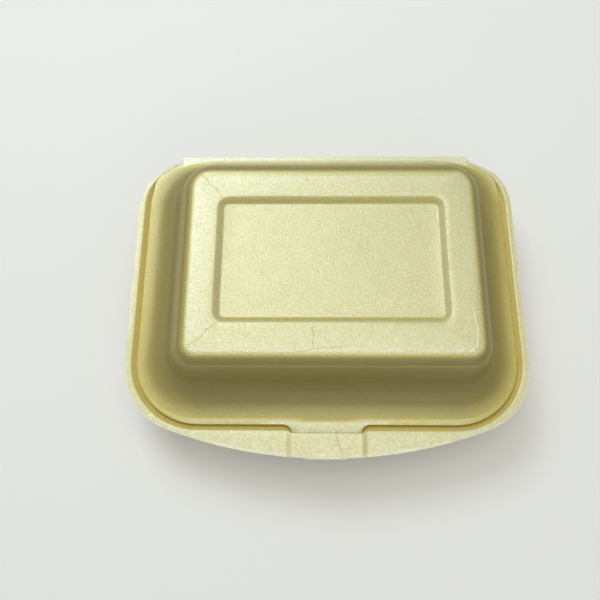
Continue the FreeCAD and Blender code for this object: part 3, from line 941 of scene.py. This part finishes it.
def grain_group():
    """Foam cells: fine closed cells and a softer mottle, as a height and a tint mask."""
    found = bpy.data.node_groups.get("foam cells")
    if found:
        return found
    group, given, result = new_group(
        "foam cells",
        [("Position", "NodeSocketVector", None), ("Cell Size", "NodeSocketFloat", 0.0009)],
        [("Height", "NodeSocketFloat"), ("Tint", "NodeSocketFloat")])
    scale = maths(group, "DIVIDE", 1.0, given.outputs["Cell Size"])
    cells = group.nodes.new("ShaderNodeTexVoronoi")
    cells.feature = "SMOOTH_F1"
    set_inputs(cells, Smoothness=0.6)
    group.links.new(given.outputs["Position"], cells.inputs["Vector"])
    group.links.new(scale, cells.inputs["Scale"])
    fine = noise_node(group, given.outputs["Position"], 3.0, 0.6)
    group.links.new(maths(group, "MULTIPLY", scale, 0.6), fine.inputs["Scale"])
    soft = noise_node(group, given.outputs["Position"], 2.0)
    group.links.new(maths(group, "MULTIPLY", scale, 0.18), soft.inputs["Scale"])
    height = maths(group, "MULTIPLY_ADD", cells.outputs["Distance"], -0.7, fine.outputs["Fac"])
    group.links.new(height, result.inputs["Height"])
    tint = maths(group, "MULTIPLY_ADD", fine.outputs["Fac"], 0.8,
                 maths(group, "MULTIPLY", soft.outputs["Fac"], 0.2))
    group.links.new(tint, result.inputs["Tint"])
    return group


def dent_group():
    """Slow waves that the sheet keeps from forming and handling, as a height."""
    found = bpy.data.node_groups.get("sheet waves")
    if found:
        return found
    group, given, result = new_group(
        "sheet waves",
        [("Position", "NodeSocketVector", None), ("Spread", "NodeSocketFloat", 0.02)],
        [("Height", "NodeSocketFloat")])
    waves = noise_node(group, given.outputs["Position"], 2.0, 0.45)
    group.links.new(maths(group, "DIVIDE", 1.0, given.outputs["Spread"]), waves.inputs["Scale"])
    group.links.new(waves.outputs["Fac"], result.inputs["Height"])
    return group


def crease_group():
    """Mask of one pressed crease: 1 on the line from start to end, 0 a width away."""
    found = bpy.data.node_groups.get("crease line")
    if found:
        return found
    group, given, result = new_group(
        "crease line",
        [("Position", "NodeSocketVector", None), ("Start", "NodeSocketVector", None),
         ("End", "NodeSocketVector", None), ("Width", "NodeSocketFloat", 0.0008)],
        [("Line", "NodeSocketFloat")])
    along = vectors(group, "SUBTRACT", given.outputs["End"], given.outputs["Start"])
    away = vectors(group, "SUBTRACT", given.outputs["Position"], given.outputs["Start"])
    share = maths(group, "DIVIDE", vectors(group, "DOT_PRODUCT", away, along),
                  vectors(group, "DOT_PRODUCT", along, along), clamp=True)
    nearest = vectors(group, "SCALE", along, scale=share)
    gap = vectors(group, "DISTANCE", away, nearest)
    line = maths(group, "SUBTRACT", 1.0, maths(group, "DIVIDE", gap, given.outputs["Width"]),
                 clamp=True)
    group.links.new(maths(group, "MULTIPLY", line, line), result.inputs["Line"])
    return group


def place_group(tree, group, **values):
    node = tree.nodes.new("ShaderNodeGroup")
    node.node_tree = group
    for label, entry in values.items():
        socket = node.inputs[label.replace("_", " ")]
        if isinstance(entry, bpy.types.NodeSocket):
            tree.links.new(entry, socket)
        else:
            socket.default_value = entry
    return node


def wandering(tree, position):
    """Position pushed about a little, so that creases aren't ruled lines."""
    drift = noise_node(tree, position, 1.0)
    set_inputs(drift, Scale=260.0)
    centred = vectors(tree, "SUBTRACT", drift.outputs["Color"], (0.5, 0.5, 0.5))
    small = vectors(tree, "MULTIPLY", centred, (0.0022, 0.0022, 0.0))
    return vectors(tree, "ADD", position, small)


def on_top(across, reach):
    """Point on the lid's crown, on the lean that this box has."""
    sizes = box_sizes()
    return (across * MM + sizes.top_shift, FOLD_Y - reach * MM, PARTING_Z + sizes.lid_rise)


def lid_creases():
    """Pressed lines of the crown: start, end and width."""
    return ((on_top(-77, 32), on_top(-72, 38), 0.7 * MM),
            (on_top(-72, 38), on_top(-68, 41), 0.7 * MM),
            (on_top(-68, 41), on_top(-64, 47), 0.8 * MM),
            (on_top(-79, 138), on_top(-72, 133), 0.8 * MM),
            (on_top(-72, 133), on_top(-69, 128), 0.7 * MM),
            (on_top(-69, 128), on_top(-64, 125), 0.7 * MM),
            (on_top(-28, 143), on_top(-6, 139), 0.7 * MM),
            (on_top(-6, 139), on_top(8, 138), 0.6 * MM),
            (on_top(-10, 139), on_top(-11, 127), 0.6 * MM),
            (on_top(-16, 29), on_top(-13, 36), 0.6 * MM))


def lid_wrinkles():
    """Raised lines at the crown's front right corner: start, end and width."""
    return ((on_top(79, 116), on_top(80.5, 130), 1.5 * MM),
            (on_top(80.5, 130), on_top(79, 138), 1.5 * MM),
            (on_top(79, 138), on_top(75, 141), 1.5 * MM),
            (on_top(75, 141), on_top(64, 141.5), 1.3 * MM))


def tray_creases():
    """Crack across the front lip, in two legs."""
    top = PARTING_Z + 3.4 * MM
    return (((5.0 * MM, FOLD_Y - 181 * MM, top), (7.2 * MM, FOLD_Y - 187 * MM, top), 0.6 * MM),
            ((7.2 * MM, FOLD_Y - 187 * MM, top), (8.4 * MM, FOLD_Y - 194 * MM, top), 0.6 * MM))


def line_mask(tree, position, lines):
    """Mask of several lines, each (start, end, width)."""
    mask = None
    for start, end, width in lines:
        line = place_group(tree, crease_group(), Position=position, Start=start, End=end,
                           Width=width).outputs["Line"]
        mask = line if mask is None else maths(tree, "MAXIMUM", mask, line)
    return mask


def pearl_foam(name, gold, creases=(), wrinkles=()):
    """Pearl-coated foam skin: cell grain, slow waves, creases with painted shade in them, raised
    lines with a painted highlight, and gold to olive for the stretched tone and painted shade.
    """
    sizes, colours = box_sizes(), box_colours()
    material, tree, shader, position = new_material(name)
    grain = place_group(tree, grain_group(), Position=position, Cell_Size=sizes.cell)
    waves = place_group(tree, dent_group(), Position=position, Spread=0.02)
    # Tint value of the skin, which holds painted shade and painted highlights besides the stretched
    # tone.
    stretch = tree.nodes.new("ShaderNodeAttribute")
    stretch.attribute_name = "stretch"
    uneven = wandering(tree, position) if creases else None
    crease_lines_and_shade = line_mask(tree, uneven, creases)
    raised_lines_and_highlight = line_mask(tree, uneven, wrinkles)
    speckle = maths(tree, "MULTIPLY_ADD", stretch.outputs["Fac"], -0.45, 0.62)
    centred = maths(tree, "SUBTRACT", grain.outputs["Tint"], 0.5)
    shade = maths(tree, "MULTIPLY_ADD", centred, speckle, stretch.outputs["Fac"], clamp=True)
    # Creases are drawn darker: painted shade in them.
    if crease_lines_and_shade is not None:
        shade = maths(tree, "MULTIPLY_ADD", crease_lines_and_shade, 0.2, shade, clamp=True)
    # Raised lines are drawn paler: a painted highlight along them.
    if raised_lines_and_highlight is not None:
        shade = maths(tree, "MULTIPLY_ADD", raised_lines_and_highlight, -0.08, shade, clamp=True)
    tint = tree.nodes.new("ShaderNodeValToRGB")
    stops = tint.color_ramp.elements
    stops[0].position, stops[0].color = PALE, (*colours.cut, 1)
    stops[1].position, stops[1].color = OLIVE, (*colours.olive, 1)
    for place, shown in ((LEVEL, colours.foam), (GOLD, gold)):
        stops.new(place).color = (*shown, 1)
    tree.links.new(shade, tint.inputs["Fac"])
    tree.links.new(tint.outputs["Color"], shader.inputs["Base Color"])
    roughness = maths(tree, "MULTIPLY_ADD", grain.outputs["Tint"], 0.22, 0.33)
    tree.links.new(roughness, shader.inputs["Roughness"])
    set_inputs(shader, Metallic=0.2, Specular_IOR_Level=0.6, Coat_Weight=0.7, Coat_Roughness=0.38)
    normal = bumped(tree, waves.outputs["Height"], 0.5, 0.9 * MM)
    for mask, depth in ((crease_lines_and_shade, -0.22 * MM), (raised_lines_and_highlight, 0.25 * MM)):
        if mask is not None:
            normal = bumped(tree, mask, 0.6, depth, normal)
    relief = maths(tree, "MULTIPLY_ADD", stretch.outputs["Fac"], -0.6, 1.1)
    fine = maths(tree, "MULTIPLY", grain.outputs["Height"], relief)
    tree.links.new(bumped(tree, fine, 0.8, 0.2 * MM, normal), shader.inputs["Normal"])
    return material


def cut_foam():
    """Open cells where the sheet was cut, paler than its skin."""
    name = "cut foam"
    if name in bpy.data.materials:
        return bpy.data.materials[name]
    material, tree, shader, position = new_material(name)
    grain = place_group(tree, grain_group(), Position=position, Cell_Size=box_sizes().cell * 0.8)
    tint = tree.nodes.new("ShaderNodeMix")
    tint.data_type = "RGBA"
    tree.links.new(maths(tree, "MULTIPLY", grain.outputs["Tint"], 0.5), tint.inputs["Factor"])
    tint.inputs["A"].default_value = (*box_colours().cut, 1)
    tint.inputs["B"].default_value = (*box_colours().foam, 1)
    tree.links.new(tint.outputs["Result"], shader.inputs["Base Color"])
    set_inputs(shader, Roughness=0.75)
    tree.links.new(bumped(tree, grain.outputs["Height"], 0.6, 0.2 * MM), shader.inputs["Normal"])
    return material


# Stage


CAMERA_PITCH, CAMERA_YAW, CAMERA_ROLL = 70.883, -2.808, -2.579
CAMERA_PLACE = (-9.34, -230.22, 375.25)
CAMERA_FOCUS = 650.0
PHOTO_WIDTH = 600.0
SENSOR = 36.0


def area_lamp(name, place, towards, across, along, power, tint=(1.0, 1.0, 1.0)):
    lamp = bpy.data.lights.new(name, "AREA")
    lamp.shape = "RECTANGLE"
    lamp.size, lamp.size_y = across, along
    lamp.energy = power
    lamp.color = tint
    holder = bpy.data.objects.new(name, lamp)
    bpy.context.scene.collection.objects.link(holder)
    holder.location = place
    holder.rotation_euler = (Vector(towards) - Vector(place)).to_track_quat("-Z", "Y").to_euler()


class FOAMBOX_OT_stage(bpy.types.Operator):
    """Set the pale floor, the soft lamps, the white surround and the camera"""

    bl_idname = "foam_box.stage"
    bl_label = "Stage"

    def execute(self, context):
        scene = context.scene
        bpy.ops.object.select_all(action="DESELECT")
        bpy.ops.mesh.primitive_plane_add(size=40, location=(0, 0, 0))
        floor = context.object
        floor.name = "studio_floor"
        floor.data.materials.append(floor_paint())
        world = bpy.data.worlds.new("studio")
        world.use_nodes = True
        scene.world = world
        tree = world.node_tree
        backdrop = tree.nodes["Background"]
        backdrop.inputs["Color"].default_value = (1, 1, 1, 1)
        path = tree.nodes.new("ShaderNodeLightPath")
        seen = maths(tree, "MULTIPLY_ADD", path.outputs["Is Camera Ray"], 0.72, 0.28)
        tree.links.new(seen, backdrop.inputs["Strength"])
        area_lamp("key lamp", (-0.42, 0.7, 1.2), (0, 0, 0.04), 0.7, 0.6, 7.3,
                  (0.86, 0.95, 1.0))
        area_lamp("top lamp", (0.1, 0.1, 1.5), (0, 0, 0.04), 0.9, 0.9, 5.2,
                  (1.0, 0.975, 0.82))
        area_lamp("front fill", (0.3, -1.3, 0.9), (0, 0, 0.03), 1.2, 0.8, 1.5)
        scene.view_settings.view_transform = "Standard"
        scene.camera = photo_camera()
        return {"FINISHED"}


def floor_paint():
    material, tree, shader, position = new_material("floor paint")
    set_inputs(shader, Base_Color=(*box_colours().floor, 1), Roughness=0.9,
               Specular_IOR_Level=0.1, Emission_Color=(1, 1, 1, 1))
    path = tree.nodes.new("ShaderNodeLightPath")
    away = maths(tree, "MULTIPLY_ADD", vectors(tree, "LENGTH", position), 0.4, -0.3, clamp=True)
    glow = maths(tree, "MULTIPLY", path.outputs["Is Camera Ray"],
                 maths(tree, "MULTIPLY_ADD", away, 0.55, 0.14))
    tree.links.new(glow, shader.inputs["Emission Strength"])
    return material


def photo_camera():
    """Camera at the photograph's viewing angle, from a fit to the box's outlines."""
    camera = bpy.data.cameras.new("photo camera")
    camera.sensor_width = SENSOR
    camera.lens = CAMERA_FOCUS / PHOTO_WIDTH * SENSOR
    holder = bpy.data.objects.new("photo camera", camera)
    bpy.context.scene.collection.objects.link(holder)
    pitch, yaw, roll = (math.radians(angle) for angle in (CAMERA_PITCH, CAMERA_YAW, CAMERA_ROLL))
    forward = Vector((math.sin(yaw) * math.cos(pitch), math.cos(yaw) * math.cos(pitch),
                      -math.sin(pitch)))
    right = Vector((math.cos(yaw), -math.sin(yaw), 0))
    upward = right.cross(forward)
    turned_right = math.cos(roll) * right + math.sin(roll) * upward
    turned_up = -math.sin(roll) * right + math.cos(roll) * upward
    turn = Matrix((turned_right, turned_up, -forward)).transposed()
    place = Vector(CAMERA_PLACE) * MM + Vector((0, FOLD_Y, flange_top()))
    holder.matrix_world = Matrix.Translation(place) @ turn.to_4x4()
    return holder


# Panel and run


class FOAMBOX_PT_panel(bpy.types.Panel):
    """Sizes, colours and building steps of the foam food box"""

    bl_idname = "FOAMBOX_PT_panel"
    bl_label = "Foam Food Box"
    bl_space_type = "VIEW_3D"
    bl_region_type = "UI"
    bl_category = "Foam Box"

    def draw(self, context):
        column = self.layout.column()
        for group in (context.scene.foam_box_sizes, context.scene.foam_box_colours):
            for name in group.__annotations__:
                column.prop(group, name)
        for step in BUILD_STEPS:
            column.operator(step.bl_idname)


BUILD_STEPS = (FOAMBOX_OT_tray, FOAMBOX_OT_lid, FOAMBOX_OT_fold, FOAMBOX_OT_stage)
CLASSES = (FoamBoxSizes, FoamBoxColours, *BUILD_STEPS, FOAMBOX_PT_panel)


def register():
    for entry in CLASSES:
        bpy.utils.register_class(entry)
    bpy.types.Scene.foam_box_sizes = PointerProperty(type=FoamBoxSizes)
    bpy.types.Scene.foam_box_colours = PointerProperty(type=FoamBoxColours)


def unregister():
    del bpy.types.Scene.foam_box_sizes
    del bpy.types.Scene.foam_box_colours
    for entry in reversed(CLASSES):
        bpy.utils.unregister_class(entry)


def main():
    register()
    bpy.ops.foam_box.tray()
    bpy.ops.foam_box.lid()
    bpy.ops.foam_box.fold()
    bpy.ops.foam_box.stage()


if __name__ == "__main__":
    main()
